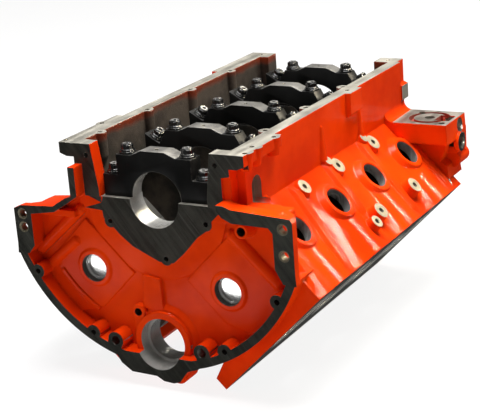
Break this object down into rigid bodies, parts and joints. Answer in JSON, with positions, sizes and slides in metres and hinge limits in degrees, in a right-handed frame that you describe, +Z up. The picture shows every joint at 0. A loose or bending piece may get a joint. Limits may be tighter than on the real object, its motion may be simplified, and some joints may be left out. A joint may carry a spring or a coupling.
{
  "type": "engine block",
  "caption": "Vee engine block casting with deep skirts, splayed-stud main bearing caps and a bell housing flange, standing on its cylinder decks.",
  "frame": {"origin": "on the crankshaft axis, in the plane of the machined shield at the rear end of the main bearing bore", "axes": "+X right across the block seen from the rear, +Y along the crankshaft to the front, +Z up towards the oil pan rails"},
  "size_m": [0.4718, 0.572, 0.3286],
  "materials": {
    "block_paint": "gloss",
    "plug_zinc": "satin",
    "cap_black": "satin",
    "fastener_black": "polished"
  },
  "bodies": {
    "root": {"block_casting": "block_paint", "rear_core_plug_left": "plug_zinc", "rear_core_plug_right": "plug_zinc", "main_cap_1": "cap_black", "main_cap_2": "cap_black", "main_cap_3": "cap_black", "main_cap_4": "cap_black", "main_cap_5": "cap_black", "inner_studs_1": "fastener_black", "inner_studs_2": "fastener_black", "inner_studs_3": "fastener_black", "inner_studs_4": "fastener_black", "inner_studs_5": "fastener_black", "outer_studs_1": "fastener_black", "outer_studs_2": "fastener_black", "outer_studs_3": "fastener_black", "outer_studs_4": "fastener_black", "outer_studs_5": "fastener_black", "inner_washers_1": "fastener_black", "inner_washers_2": "fastener_black", "inner_washers_3": "fastener_black", "inner_washers_4": "fastener_black", "inner_washers_5": "fastener_black", "outer_washers_1": "fastener_black", "outer_washers_2": "fastener_black", "outer_washers_3": "fastener_black", "outer_washers_4": "fastener_black", "outer_washers_5": "fastener_black", "inner_nuts_1": "fastener_black", "inner_nuts_2": "fastener_black", "inner_nuts_3": "fastener_black", "inner_nuts_4": "fastener_black", "inner_nuts_5": "fastener_black", "outer_nuts_1": "fastener_black", "outer_nuts_2": "fastener_black", "outer_nuts_3": "fastener_black", "outer_nuts_4": "fastener_black", "outer_nuts_5": "fastener_black"}
  },
  "joints": []
}
